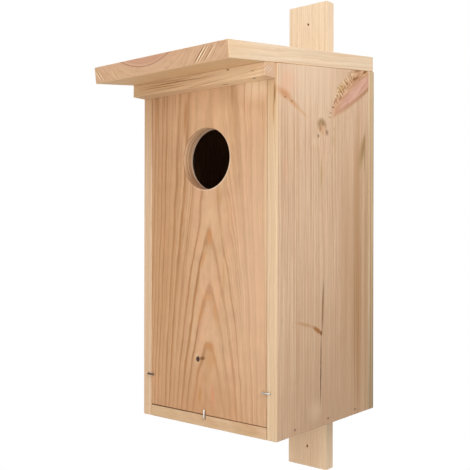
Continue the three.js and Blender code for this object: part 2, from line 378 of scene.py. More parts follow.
def pine(name, grain, marks=(), extra=None):
    """Planed pine, untreated: growth rings cut by the board's faces, with fine fibres along them.

    The rings are cylinders round the pith, so faces, edges and end grain of a board agree. Their
    late wood is narrow and darker and ends sharply. All lengths are millimetres on the board:
    x across its face, y into it, z along the grain. A scale says how many clouds of noise lie in a
    millimetre along each of them.
    """
    material, add = new_material(name)
    turn = [radians(a) for a in grain["turn"]]
    seed = grain["seed"]
    place = board_place(add, grain["foot"], turn)

    # The rings wander slowly along the board and shake a little everywhere
    slow = drift(add, place, (0.016, 0.016, 0.006), seed, (grain["wander"],) * 3)
    bumps = drift(add, place, (0.055, 0.055, 0.02), seed + 2, (grain["bumps"], grain["bumps"], 0))
    shake = drift(add, place, (0.22, 0.22, 0.028), seed + 1, (grain["shake"], grain["shake"], 0))
    wavy = slow
    for shift in (shake, bumps, place):
        wavy = add("VectorMath", wavy, shift, operation="ADD")

    # They part round each knot
    for x, z, half_width, half_height, push in grain["knots"]:
        near = ellipse(add, place, (x, 0, z), (half_width, 400, half_height), soft=1.0)
        near = add("Math", near, push, operation="MULTIPLY")
        away = add("VectorMath", wavy, (x, 0, z), operation="SUBTRACT")
        away = add("VectorMath", away, (-1, 0, 0), operation="MULTIPLY")
        away = add("VectorMath", away, {3: near}, operation="SCALE")
        wavy = add("VectorMath", wavy, away, operation="ADD")

    # Distance from the pith. The trunk's taper shows most over the pith, where it draws the
    # pointed arches of a flat-sawn board
    pith_x, pith_y = grain["pith"]
    across = add("VectorMath", wavy, (pith_x, pith_y, 0), operation="SUBTRACT")
    flat = add("VectorMath", across, (1, 1, 0), operation="MULTIPLY")
    radius = add("VectorMath", flat, out=1, operation="LENGTH")
    parts = add("SeparateXYZ", across).node
    aside, along = parts.outputs[0], parts.outputs[2]
    near_taper, left_taper, right_taper = grain["taper"]
    far_taper = add("MapRange", aside, -5, 5, left_taper, right_taper)
    off = add("Math", aside, operation="ABSOLUTE")
    taper = add("MapRange", off, 20, 90, near_taper, far_taper, interpolation_type="SMOOTHSTEP")
    knee, share = grain["knee"]
    along_top = add("Math", along, share, knee * (1 - share), operation="MULTIPLY_ADD")
    along = add("Math", along, along_top, 60.0, operation="SMOOTH_MIN")
    span = add("Math", radius, abs(pith_y), operation="SUBTRACT")
    span = add("Math", along, taper, span, operation="MULTIPLY_ADD")

    # Number of rings out to there, growing narrower outwards, with good and poor years
    first, density, growth = grain["rings"]
    count = add("Math", span, growth, density, operation="MULTIPLY_ADD")
    count = add("Math", count, span, first, operation="MULTIPLY_ADD")
    uneven = add("CombineXYZ", count)
    uneven = add("TexNoise", {"Vector": uneven, "Scale": 0.45, "Detail": 0.0})
    count = add("Math", uneven, grain["uneven"], count, operation="MULTIPLY_ADD")
    part = add("Math", count, operation="FRACT")
    ring = add("Math", count, operation="FLOOR")

    # Late wood: it darkens slowly through a ring and stops sharply
    late = add("ValToRGB", part, out=1)
    fill_ramp(late, grain["profile"])
    years = grain["years"]
    if years:
        share = add("Math", ring, 0.5, operation="ADD")
        share = add("Math", share, len(years), operation="DIVIDE")
        year = add("ValToRGB", share, out=1)
        fill_ramp(year, [(i / len(years), v) for i, v in enumerate(years)], "CONSTANT")
    else:
        year = add("TexWhiteNoise", {"W": ring}, noise_dimensions="1D")
        year = add("MapRange", year, 0, 1, grain["faintest"], 1)
    late = add("Math", late, year, operation="MULTIPLY")
    left_strength, right_strength = grain["strength"]
    strength = add("MapRange", aside, -70, 30, left_strength, right_strength, interpolation_type="SMOOTHSTEP")
    patchy = add("VectorMath", place, (0.05, 0.05, 0.009), operation="MULTIPLY")
    patchy = add("TexNoise", {"Vector": patchy, "Scale": 1.0, "Detail": 2.0, "W": seed + 3}, noise_dimensions="4D")
    patchy_late = add("MapRange", patchy, 0.3, 0.7, 0.6, 1.25)
    late = add("Math", late, strength, operation="MULTIPLY")
    late = add("Math", late, patchy_late, operation="MULTIPLY")

    # Faint lines inside the rings, two to five millimetres apart
    inner = add("CombineXYZ", span)
    inner = add("TexNoise", {"Vector": inner, "Scale": grain["inner_scale"], "Detail": 2.0, "Roughness": 0.7})
    inner = add("MapRange", inner, 0.44, 0.62, 0, grain["inner"])
    calm = add("MapRange", off, 0.5 * grain["calm"], 1.6 * grain["calm"], 0.1, 1)
    inner = add("Math", inner, calm, operation="MULTIPLY")
    late = add("Math", late, inner, operation="ADD")

    # Fibres a few tenths of a millimetre wide, drawn as coarse as the picture needs to show them
    fibre = add("VectorMath", wavy, (0.8, 0.8, 0.02), operation="MULTIPLY")
    fibre = add("TexNoise", {"Vector": fibre, "Scale": 1.0, "Detail": 5.0, "Roughness": 0.7})
    dash = add("VectorMath", wavy, (1.3, 1.3, 0.09), operation="MULTIPLY")
    dash = add("TexNoise", {"Vector": dash, "Scale": 1.0, "Detail": 2.0, "Roughness": 0.5})
    dash = add("MapRange", dash, 0.63, 0.74, 0, 1)

    # Colour
    colour = add("Mix", late, {6: grain["wood"], 7: grain["lines"]}, out=2, data_type="RGBA")
    blush = add("MapRange", patchy, 0.45, 0.72, 0, 1, interpolation_type="SMOOTHSTEP")
    colour = tone(add, colour, blush, grain["blush"], grain["blush_share"])
    streak_fine = grain["streak_fine"]
    streak = add("VectorMath", wavy, (streak_fine, streak_fine, 0.004), operation="MULTIPLY")
    streak = add("TexNoise", {"Vector": streak, "Scale": 1.0, "Detail": 3.0, "W": seed + 4}, noise_dimensions="4D")
    pale_streak = add("MapRange", streak, 0.5, 0.68, 0, grain["streaks"])
    brown_streak = add("MapRange", streak, 0.5, 0.32, 0, grain["streaks"])
    colour = tone(add, colour, pale_streak, "#EBCDAA")
    colour = tone(add, colour, brown_streak, "#BA8D67")
    shade = add("MapRange", fibre, 0.3, 0.7, 1 - grain["fibre"], 1 + grain["fibre"], clamp=False)
    colour = add("HueSaturation", {"Value": shade, "Color": colour})
    colour = tone(add, colour, dash, "#A97C50", grain["dashes"])
    if grain["mottle"]:
        spread = grain["mottle"]
        cloud = add("VectorMath", wavy, (0.06, 0.06, 0.03), operation="MULTIPLY")
        cloud = add("TexNoise", {"Vector": cloud, "Scale": 1.0, "Detail": 3.0, "Roughness": 0.6})
        shade = add("MapRange", cloud, 0.3, 0.7, 1 - spread, 1 + spread, clamp=False)
        colour = add("HueSaturation", {"Value": shade, "Color": colour})

    # Sawn ends drink the light: darker and warmer, with the rings plainer
    axis = Matrix.Rotation(turn[2], 3, "Z") @ Matrix.Rotation(turn[1], 3, "Y") @ Matrix.Rotation(turn[0], 3, "X")
    facing = add("VectorMath", add("TexCoord", out=1), axis @ Vector((0, 0, 1)), out=1, operation="DOT_PRODUCT")
    facing = add("Math", facing, operation="ABSOLUTE")
    end = add("MapRange", facing, 0.75, 0.95, 0, 1, interpolation_type="SMOOTHSTEP")
    colour = tone(add, colour, end, grain["end"], 1.0, "MULTIPLY")
    end_late = add("Math", late, end, operation="MULTIPLY")
    colour = tone(add, colour, end_late, "#B98C68", grain["end_lines"], "MULTIPLY")

    # Marks that only this board has: centre, half sizes, turn, softness, colour, share and, if any,
    # depth and roll
    jitter = drift(add, place, (0.3, 0.3, 0.14), seed + 5, (1.2, 0, 2.4))
    rough_place = add("VectorMath", place, jitter, operation="ADD")
    height = add("Math", fibre, 0.5, late, operation="MULTIPLY_ADD")
    for centre, half, angle, soft, code, share, *more in marks:
        depth, roll = (*more, 0, 0)[:2]
        mask = ellipse(add, rough_place, centre, half, angle, soft, roll)
        colour = tone(add, colour, mask, code, share)
        if depth:
            height = add("Math", mask, -depth, height, operation="MULTIPLY_ADD")
    if extra:
        colour, height = extra(add, rough_place, colour, height)

    # Relief: soft early wood lies a few hundredths of a millimetre lower
    normal = add("Bump", {"Strength": 0.4, "Distance": 0.12 * MM, "Height": height})
    rough = add("MapRange", fibre, 0.3, 0.7, 0.72, 0.58)
    shader = add("BsdfPrincipled",
                 {"Base Color": colour, "Roughness": rough, "Normal": normal, "IOR": 1.5, "Specular IOR Level": 0.3})
    add("OutputMaterial", shader)
    return material


def fill_ramp(output, stops, interpolation="LINEAR"):
    """Gives a colour ramp its stops, to be read from its alpha."""
    ramp = output.node.color_ramp
    ramp.interpolation = interpolation
    while len(ramp.elements) > 1:
        ramp.elements.remove(ramp.elements[-1])
    for i, (position, value) in enumerate(stops):
        stop = ramp.elements[0] if i == 0 else ramp.elements.new(position)
        stop.position = position
        stop.color = (value, value, value, value)


SHARP_RINGS = ((0.0, 0.1), (0.08, 0.0), (0.55, 0.05), (0.72, 0.35), (0.84, 1.0), (0.94, 0.9), (1.0, 0.1))
SOFT_RINGS = ((0.0, 0.15), (0.12, 0.0), (0.5, 0.1), (0.7, 0.4), (0.83, 1.0), (0.92, 0.85), (1.0, 0.15))


# The usual numbers of a pine board, lengths in millimetres:
# - wander, bumps, shake: how far its rings stray, in slow waves, in bumps and in small shakes
# - pith: its place across the board and into it
# - taper: how fast the trunk narrows over the pith, left and right of it
# - knee: the height where it starts to narrow slower, and the share that is left of the taper
# - rings: the first one's number, how many lie in a millimetre, and how that grows outwards
# - profile, years: how dark the wood is through a ring, and from ring to ring; faintest: the least
#   that a ring can be where no years are given
# - strength: of the rings at the left and at the right
# - inner, inner_scale, calm: faint lines between the rings, and the width over the pith without them
# - end, end_lines: tint of the sawn ends, and how much plainer the rings are there
# - knots: place across and up, half width and height, and how much the rings part
USUAL_GRAIN = dict(
    seed=1.0, wander=8.0, bumps=2.0, shake=1.0, pith=(-40, 60), taper=(0.02, 0.02, 0.02), knee=(300, 1.0),
    rings=(0.0, 0.33, 0.0), uneven=1.0, profile=SOFT_RINGS, years=(), faintest=0.35, strength=(0.8, 0.8),
    inner=0.4, inner_scale=0.5, calm=0.1, streaks=0.3, streak_fine=0.12, mottle=0.0, blush="#DCA688",
    blush_share=0.3, fibre=0.07, dashes=0.3, end=(0.86, 0.80, 0.74, 1), end_lines=0.4, knots=(),
)


def grain_of(colours, foot, turn, **changes):
    """The grain of one board, seen from its foot and turned to it: the usual numbers and what differs."""
    return dict(USUAL_GRAIN, foot=foot, turn=turn, wood=colours.side_wood, lines=colours.side_lines) | changes


def face_marks(*rows):
    """Marks that go a few millimetres into a board's face, each given by its place across and up."""
    deep = 7
    return tuple(
        ((x, 0, z), (half_width, deep, half_height), *look) for x, z, half_width, half_height, *look in rows
    )


def front_pine(colours):
    """Planed pine, flat sawn: strong warm lines on the left, pointed arches in the middle."""
    grain = grain_of(
        colours, FOOT, (0, 0, 0), seed=4.0, wander=5.0, bumps=4.4, shake=1.4, pith=(6, 40),
        taper=(0.105, 0.047, 0.02), knee=(270, 0.3), rings=(0.371, 0.1336, 0.000163), uneven=0.0,
        years=(0.5, 0.9, 0.8, 1.0, 0.6, 0.3, 1.0, 0.85, 0.3, 0.9, 0.85, 0.4, 0.8, 0.55, 0.7, 0.5),
        strength=(1.8, 0.55), inner=0.6, inner_scale=0.7, calm=26, mottle=0.09, profile=SHARP_RINGS,
        wood=colours.front_wood, lines=colours.front_lines, streaks=0.12, blush="#DBA27F", blush_share=0.35,
        knots=((-12, 90, 22, 40, 0.35),),
    )
    marks = face_marks(
        # warmer and darker towards the left, paler to the right
        (-80, 220, 75, 330, 0, 0.9, "#BC8B5E", 0.5),
        (85, 240, 60, 330, 0, 0.9, "#DFB795", 0.5),
        # painted light: paler across the top, lifting the shade under the roof
        (0, 470, 150, 120, 0, 0.9, "#E8BD92", 0.45),
        # darker at the foot
        (-5, 10, 120, 120, 0, 0.9, "#BD8A60", 0.65),
        # painted light: paler at the top right, lifting the batten's shadow
        (84, 458, 42, 34, 0, 0.9, "#FFE2BE", 0.75),
        # darker streaks near the top
        (-93, 446, 4, 64, 0, 0.9, "#A8743F", 0.6),
        (-79, 452, 1.6, 50, 0, 0.8, "#A57244", 0.6),
        (-57, 455, 1.8, 44, 1, 0.9, "#AE7C4C", 0.5),
        (46, 452, 1.3, 46, -1, 0.8, "#A87848", 0.55),
        (67, 452, 1.6, 52, 0, 0.8, "#A67546", 0.4),
        (79, 452, 1.3, 44, 0, 0.8, "#A87848", 0.3),
        (91, 452, 1.6, 44, 0, 0.8, "#A67546", 0.3),
        # paler sapwood along the right edge
        (104, 300, 7, 190, 0, 0.9, "#E0C29A", 0.65),
        # orange heartwood in the arches
        (7, 258, 8, 17, 0, 0.8, "#C98B58", 0.75),
        (-4, 228, 4, 24, 22, 0.9, "#C88C56", 0.6),
        (-18, 180, 3.5, 26, 20, 0.9, "#BD8452", 0.5),
        (32, 206, 4, 28, -2, 0.9, "#C2935F", 0.55),
        (3, 176, 15, 8, 0, 0.9, "#CC935F", 0.55),
        (-9, 152, 6, 22, 14, 0.9, "#C98E5A", 0.5),
        (17, 156, 5, 22, -12, 0.9, "#C88D58", 0.6),
        (7, 110, 13, 9, 0, 0.8, "#C08550", 0.65),
        (15, 96, 5, 18, -8, 0.9, "#C88E5A", 0.5),
        (8, 90, 12, 24, 0, 0.9, "#C08A58", 0.6),
        (0, 68, 12, 16, 0, 0.9, "#BD8A5A", 0.5),
        (-10, 42, 5, 22, 6, 0.9, "#BC8850", 0.8),
        (13, 44, 4.5, 26, -2, 0.9, "#D08862", 0.6),
        (24, 312, 9, 18, 0, 0.9, "#C4925F", 0.5),
        (-38, 424, 5, 40, 4, 0.9, "#B57C4A", 0.8),
        (12, 288, 16, 16, 0, 1.0, "#DDB993", 0.2),
        # the entrance's edge: a painted highlight, wider to the right and below
        (1.4, 363.1, 43.2, 43.2, 0, 0.04, "#EFD3B6", 0.7),
        # a small dead knot, with resin drawn out of it to the right
        (-15, 92, 8, 11, 0, 1.0, "#E2BF98", 0.6),
        (-5.4, 92.6, 3.6, 6.4, 78, 0.6, "#7A4C2A", 0.9),
        (-13.7, 90.8, 4.4, 5.2, 14, 0.45, "#30140A", 0.97, 2),
    )
    return pine("planed_pine_front", grain, marks)


# The torn band's larger strokes by colour: place on the side board, half width and length, turn, share
TEARS = (
    ("#EFCAA2", (
        (143, 463.4, 1.6, 3.6, 100, 0.85), (137.8, 454, 1.5, 3, 45, 0.8), (151.5, 460, 1.4, 5.5, 112, 0.8),
        (166, 464.5, 1.5, 11, 58, 0.7), (160, 475, 1.6, 5, 105, 0.7), (172, 482.5, 1.6, 5, 105, 0.8),
        (183, 492.5, 1.7, 7, 55, 0.85),
    )),
    ("#A57541", (
        (123, 423.8, 1.5, 4, 88, 0.8), (143, 467.6, 1.8, 3.4, 20, 0.8), (147, 461, 1.1, 6, 108, 0.7),
        (169.5, 471.4, 2, 4, 80, 0.8), (166.5, 484, 1.0, 3.4, 112, 0.7), (172.8, 493, 1.2, 3, 40, 0.7),
        (178.2, 494.6, 1.2, 4, 50, 0.7), (176, 489.6, 1.2, 4, 150, 0.6), (181, 482, 1.6, 4, 30, 0.8),
        (163, 480.2, 1.4, 4, 105, 0.85), (157.5, 466.6, 1.2, 5, 104, 0.95), (175.4, 475.4, 1.5, 5.4, 48, 0.9),
    )),
    ("#85552A", (
        (125, 429.8, 1.3, 4.4, 82, 0.7), (131.5, 438.7, 1.9, 5.2, 88, 0.9), (137, 448, 1.5, 7, 38, 0.8),
        (135.2, 445.2, 1.6, 2, 60, 0.6), (142.8, 456.6, 1.4, 3, 50, 0.75), (150.6, 454.2, 3.2, 3.8, 20, 0.75),
        (152.6, 463.2, 1.5, 7.4, 114, 1.0), (156.6, 460.4, 1.5, 3.4, 40, 0.8), (162.3, 471, 1.7, 4, 15, 0.8),
        (168.4, 477.8, 1.6, 6.6, 108, 0.9), (188.6, 487.6, 3.2, 6, 60, 0.8), (220, 503, 3.4, 14, 60, 0.95),
    )),
)


def torn_band(add, place, colour, height):
    """Pink heartwood that opens towards the back, with the grain torn along its upper border."""
    parts = add("SeparateXYZ", place).node
    knot_x, knot_z = 112, 416
    on = add("Math", parts.outputs[0], knot_x, operation="SUBTRACT")
    up = add("Math", parts.outputs[2], knot_z, operation="SUBTRACT")

    def over(lead, bend):
        """Height over a border that runs up to the back from the knot, slightly bent."""
        line = add("Math", on, bend, lead, operation="MULTIPLY_ADD")
        line = add("Math", line, on, operation="MULTIPLY")
        return add("Math", up, line, operation="SUBTRACT")

    def both(*shares):
        """The product of masks. One that is given as a value and two ends rises softly between them."""
        masks = [
            add("MapRange", *part, 0, 1, interpolation_type="SMOOTHSTEP") if isinstance(part, tuple) else part
            for part in shares
        ]
        share = masks[0]
        for mask in masks[1:]:
            share = add("Math", share, mask, operation="MULTIPLY")
        return share

    torn, rose, foot = over(1.428, -0.00578), over(0.9, -0.0015), over(0.44, 0.0008)
    along = add("Mapping", {"Vector": place, "Rotation": (0, radians(-33), 0)}, vector_type="TEXTURE")
    streak = add("VectorMath", along, (0.03, 0.2, 0.22), operation="MULTIPLY")
    streak = add("TexNoise", {"Vector": streak, "Scale": 1.0, "Detail": 3.0})

    # Tawny wood under the torn band, then the pink wood, streaked along its own grain
    tawny = both((foot, -5, 4), (torn, 8, -6), (on, 13, 26))
    colour = tone(add, colour, tawny, "#C8956D", 0.85)
    colour = tone(add, colour, ellipse(add, place, (156, 0, 470), (9, 7, 24), 58, 0.8), "#CDA46C", 0.75)
    pink = both((foot, -3, 6), (rose, 5, -6), (on, 24, 56))
    colour = tone(add, colour, pink, "#D5A592", 0.8)
    colour = tone(add, colour, both(tawny, (streak, 0.48, 0.6)), "#C48C74", 0.45)
    colour = tone(add, colour, both(tawny, (streak, 0.5, 0.38)), "#E3B7A0", 0.4)
    brink = add("Math", foot, operation="ABSOLUTE")
    colour = tone(add, colour, both((brink, 6, 0), (on, 22, 60)), "#B5835F", 0.6)
    colour = tone(add, colour, both((brink, 5, 0), (on, 76, 104)), "#A87B50", 0.6)

    # The torn band, three millimetres wide at the knot and fifteen in its middle: short cuts across it
    reach = add("MapRange", on, 6, 36, 3.5, 12)
    fade = add("MapRange", on, 62, 105, 1, 0.6)
    reach = both(reach, fade)
    bend = add("TexNoise", {"Vector": place, "Scale": 0.12, "Detail": 2.0})
    run = add("VectorMath", place, (0.57, 0, 0.82), out=1, operation="DOT_PRODUCT")
    stray, pitch = 14.0, 6.2
    run = add("Math", bend, stray, run, operation="MULTIPLY_ADD")
    run = add("Math", run, pitch, operation="DIVIDE")
    step = add("Math", add("Math", run, operation="FRACT"), 0.5, operation="SUBTRACT")
    step = add("Math", step, operation="ABSOLUTE")
    off = add("Math", add("Math", torn, operation="ABSOLUTE"), reach, operation="DIVIDE")
    cuts = both((off, 1.1, 0.6), (on, 20, 30), (on, 84, 70))
    colour = tone(add, colour, both(cuts, (step, 0.3, 0.45)), "#EBCBA0", 0.6)
    dark = both(cuts, (step, 0.25, 0.08))
    colour = tone(add, colour, dark, "#9C6E42", 0.6)
    height = add("Math", dark, -1.5, height, operation="MULTIPLY_ADD")

    # Towards the roof's back corner the tears run along the band
    tear = add("VectorMath", along, (0.05, 0.1, 0.3), operation="MULTIPLY")
    tear = add("TexNoise", {"Vector": tear, "Scale": 1.0, "Detail": 2.0})
    corner = both((off, 1.5, 0.8), (on, 66, 84))
    colour = tone(add, colour, corner, "#C08E66", 0.7)
    colour = tone(add, colour, both(corner, (tear, 0.48, 0.40)), "#E2BA90", 0.7)
    split = both(corner, (tear, 0.52, 0.60))
    colour = tone(add, colour, split, "#8B5C38", 0.85)
    height = add("Math", split, -3.0, height, operation="MULTIPLY_ADD")

    for code, strokes in TEARS:
        share = 0.0
        for x, z, half_width, half_length, turn, strength in strokes:
            mask = ellipse(add, place, (x, 0, z), (half_width, 7, half_length), turn, 0.8)
            share = add("Math", mask, strength, share, operation="MULTIPLY_ADD")
        colour = tone(add, colour, share, code)
    return colour, height


def side_pine(colours, name, hand):
    """Planed pine, nearly quarter sawn: straight faint lines, browner towards the back."""
    right = hand > 0
    foot = Vector((hand * SIDE_HIGH.x, FOOT.y, FOOT.z))
    grain = grain_of(
        colours, foot, (0, 0, 90 * hand), seed=2.0 if right else 7.0, pith=(-70 if right else 70, 45),
        taper=(0.004, 0.004, 0.004), rings=(0.0, 0.45, 0.0), strength=(0.75, 0.75), inner=1.4, inner_scale=0.9,
        blush="#DDAE92", streaks=0.4, streak_fine=0.3, fibre=0.1, mottle=0.03,
        knots=((104, 408, 30, 60, 0.6),) if right else ((-120, 210, 24, 44, 0.5),),
    )
    if not right:
        # the front edge is plainer than the faces
        edge = (
            ((0, 8, 230), (3, 40, 600), 0, 0.5, "#D8B693", 0.7),
            ((0, 8, 480), (3, 40, 150), 0, 0.9, "#C99A6C", 0.5),
        )
        face = face_marks(
            (-120, 210, 5, 7, 0, 0.5, "#6B452B", 0.9, 3),
            (-120, 210, 8, 11, 0, 0.6, "#A87B54", 0.5),
            (-40, 120, 1.0, 60, 2, 0.6, "#B98F66", 0.6),
        )
        return pine(name, grain, edge + face)
    # the front edge is plainer and paler than the face
    edge = (
        ((0, 8, 230), (3, 40, 600), 0, 0.5, "#DEC19B", 0.7),
        ((0, 8, 480), (3, 40, 150), 0, 0.9, "#CDA274", 0.45),
    )
    face = face_marks(
        # broad tones: pale at the top and browner at the foot, painted light and shade for the light falling off down
        # the board; browner towards the back
        (70, 500, 130, 130, 0, 0.9, "#ECCFB3", 0.6),
        (130, 0, 205, 260, 0, 0.9, "#B59070", 0.62),
        (199, 180, 25, 310, 0, 1.0, "#A67848", 0.75),
        (191, 120, 1.3, 150, 0, 0.8, "#9A6C46", 0.6),
        (201, 90, 1.6, 130, 0, 0.8, "#96653F", 0.6),
        (209, 160, 1.2, 170, 0, 0.8, "#A0724A", 0.6),
        (196, 330, 14, 150, 0, 0.9, "#B98C63", 0.6),
        (223, 170, 10, 340, 0, 0.8, "#AC875C", 0.65),
        (131, 290, 4, 125, -2, 0.9, "#C49A72", 0.4),
        (168, 220, 28, 260, 0, 0.9, "#BC936C", 0.6),
        (18, 345, 9, 26, 0, 1.0, "#E2A98A", 0.4),
        (30, 460, 26, 24, 0, 1.0, "#E5B393", 0.35),
        (86, 386, 12, 14, 0, 1.0, "#E8CBA9", 0.45),
        (88, 24, 24, 24, 0, 1.0, "#DCBC9B", 0.55),
        (102, 343, 3.2, 32, 1, 0.9, "#AE9052", 0.65),
        # resin that ran down from the front edge
        (18, 452, 20, 34, 0, 1.0, "#E8B18E", 0.4),
        (15, 441, 9, 25, 102, 1.0, "#C68452", 0.75),
        (36, 431, 6.5, 26, 114, 1.0, "#C88E5C", 0.65),
        (58, 421, 4, 16, 114, 1.0, "#CC9868", 0.55),
        (17, 436.5, 1.9, 3.4, 100, 0.6, "#A16A38", 0.75),
        (31.5, 433.2, 2.0, 3.8, 100, 0.6, "#A16A38", 0.7),
        # a pin knot with its swirl, and two small ones below it
        (104, 410, 24, 30, 0, 1.0, "#E8CDAA", 0.45),
        (103, 411, 15, 12, 0, 0.6, "#A17E58", 0.9),
        (105, 403.5, 12, 13, 0, 0.7, "#D6AD88", 0.85),
        (105.6, 412, 3.6, 4.6, 20, 1.0, "#85623E", 0.85),
        (99, 405, 4.4, 7.5, 24, 0.9, "#B07C50", 0.85),
        (104.5, 400, 3.4, 3.6, 0, 1.0, "#B58A62", 0.5),
        (112, 410, 2.2, 5, -30, 1.0, "#BC8E68", 0.5),
        (94.3, 394.6, 3.8, 4.4, 18, 1.0, "#80604A", 0.95, 1),
        (115.4, 401.7, 5.8, 6.4, -16, 0.9, "#97705A", 0.9, 1),
        (134.3, 408.5, 2.6, 6, 30, 0.9, "#A98A60", 0.5),
        (131, 392, 6, 13, 5, 1.0, "#BC9C6A", 0.45),
        # brown spindle near the back edge
        (211, 382, 10, 34, 14, 0.8, "#A58250", 0.7),
        (216.5, 394, 5, 28, 12, 0.8, "#93703F", 0.65),
        (219.5, 378, 2.6, 44, 2, 0.8, "#93703F", 0.6),
        # shakes, and the small flame-shaped knot where they meet
        (105.6, 163, 1.7, 48, 3, 0.6, "#6E4824", 1.0, 1),
        (107.2, 160, 3.0, 36, 3, 0.7, "#A58460", 0.7),
        (101.3, 78, 1.4, 60, 1, 0.5, "#6B482A", 1.0, 1),
        (92.5, 132.2, 4.2, 15, 116, 0.6, "#A06A35", 1.0, 1),
        (102, 127.4, 4.2, 5, 0, 0.7, "#7F5128", 0.95, 1),
        (64, 142, 3.4, 32, 103, 0.9, "#B98858", 0.65),
    )
    # resin on the front edge
    resin = (
        ((-1, 4.0, 440), (6, 2.4, 22), 0, 0.8, "#946431", 0.9),
        ((-1, 5.4, 418), (6, 2.0, 28), 0, 0.8, "#B0804C", 0.7),
    )
    return pine(name, grain, edge + face + resin, torn_band)


def back_pine(colours):
    """Planed pine, sawn so that its edges show close upright lines."""
    grain = grain_of(
        colours, Vector((0, BACK_LOW.y, FOOT.z)), (0, 0, 0), seed=5.0, pith=(118, 46), taper=(0.01, 0.01, 0.01),
        rings=(0.0, 0.27, 0.0), strength=(0.8, 0.8), wood=colours.back_wood, lines=linear("#A98560"),
        blush="#E0BE98", streaks=0.6, knots=((-30, 300, 22, 40, 0.5), (50, 120, 20, 36, 0.5)),
    )
    # the edge that shows: darker below, with a few plain lines and a grey rear arris
    marks = (
        ((118, 8, 40), (20, 30, 250), 0, 0.9, "#8A7153", 0.68),
        ((120, 2.5, 220), (6, 1.4, 330), 0, 0.7, "#E2C8A2", 0.65),
        ((120, 5.8, 240), (6, 1.0, 330), 0, 0.7, "#A37A52", 0.8),
        ((120, 10.2, 220), (6, 1.3, 330), 0, 0.7, "#DCC29C", 0.55),
        ((120, 15.2, 240), (6, 3.0, 400), 0, 0.6, "#8F7C62", 0.7),
    ) + tuple(
        mark
        for x, z in ((-30, 300), (50, 120))
        for mark in (
            ((x, 16, z), (8, 40, 11), 0, 0.6, "#B98A60", 0.6),
            ((x, 16, z), (5, 40, 7), 10, 0.5, "#70482C", 0.85, 2),
        )
    )
    return pine("planed_pine_back", grain, marks)


def floor_pine(colours):
    """Planed pine with its grain from side to side."""
    grain = grain_of(
        colours, Vector((0, FLOOR_LOW.y, FLOOR_LOW.z)), (0, 90, 0), seed=6.0, pith=(-8, 60),
        taper=(0.03, 0.03, 0.03), rings=(0.0, 0.4, 0.0), strength=(0.6, 0.6), wood=colours.floor_wood,
        lines=linear("#BD9466"),
    )
    return pine("planed_pine_floor", grain)


def batten_pine(colours):
    """Planed pine with its grain from side to side, and fine dark lines."""
    # its pale wood is lightened as painted light, against the shade under the roof
    grain = grain_of(
        colours, Vector((0, BATTEN_LOW.y, BATTEN_LOW.z)), (0, 90, 0), seed=8.0, wander=5.0, pith=(-30, 50),
        taper=(0.03, 0.03, 0.03), rings=(0.0, 0.34, 0.0), strength=(0.8, 0.8), wood=colours.batten_wood,
        lines=linear("#C0965F"), blush="#E8C096",
    )
    # darker to the left, with long brown lines; pink to the right; three dark specks
    marks = (
        ((-10, 0, -110), (60, 60, 130), 0, 0.9, "#CBA67C", 0.7),
        ((-10, 0, 70), (60, 60, 60), 0, 0.9, "#F8DDB6", 0.6),
        ((-8, 12, 118), (20, 30, 12), 0, 0.9, "#D3AD8F", 0.85),
        ((-11, 0, -35), (1.3, 8, 90), 0, 0.9, "#946839", 0.9),
        ((-14.5, 0, -60), (1.1, 8, 66), 1, 0.9, "#A0743F", 0.75),
        ((-8, 0, -60), (1.2, 8, 62), 0.5, 0.9, "#A0743F", 0.8),
        ((-4.5, 0, -45), (1.1, 8, 70), 0, 0.9, "#AB824F", 0.65),
        ((-17.5, 0, -30), (1.0, 8, 80), 0, 0.9, "#AB824F", 0.55),
        ((-15, 0, 58.5), (1.6, 3, 3), 0, 0.6, "#8A5E34", 0.9),
        ((0, 5.5, 97.3), (4, 2.6, 3.4), 0, 0.6, "#24150B", 1.0),
        ((-8, 0, 99), (1.4, 3, 4), 0, 0.8, "#A67A4E", 0.6),
        ((0, 12.4, 44), (3, 1.6, 8), 0, 0.6, "#6F4A2C", 0.95),
    ) + tuple(
        ((-9, depth, 118), (7, 0.65, 6), 0, 0.5, code, 0.75, 0, -50)
        for depth, code in ((3, "#F4DCC6"), (5, "#B08468"), (7, "#F4DCC6"), (9.2, "#B08468"), (11.4, "#F4DCC6"))
    )
    return pine("planed_pine_batten", grain, marks)


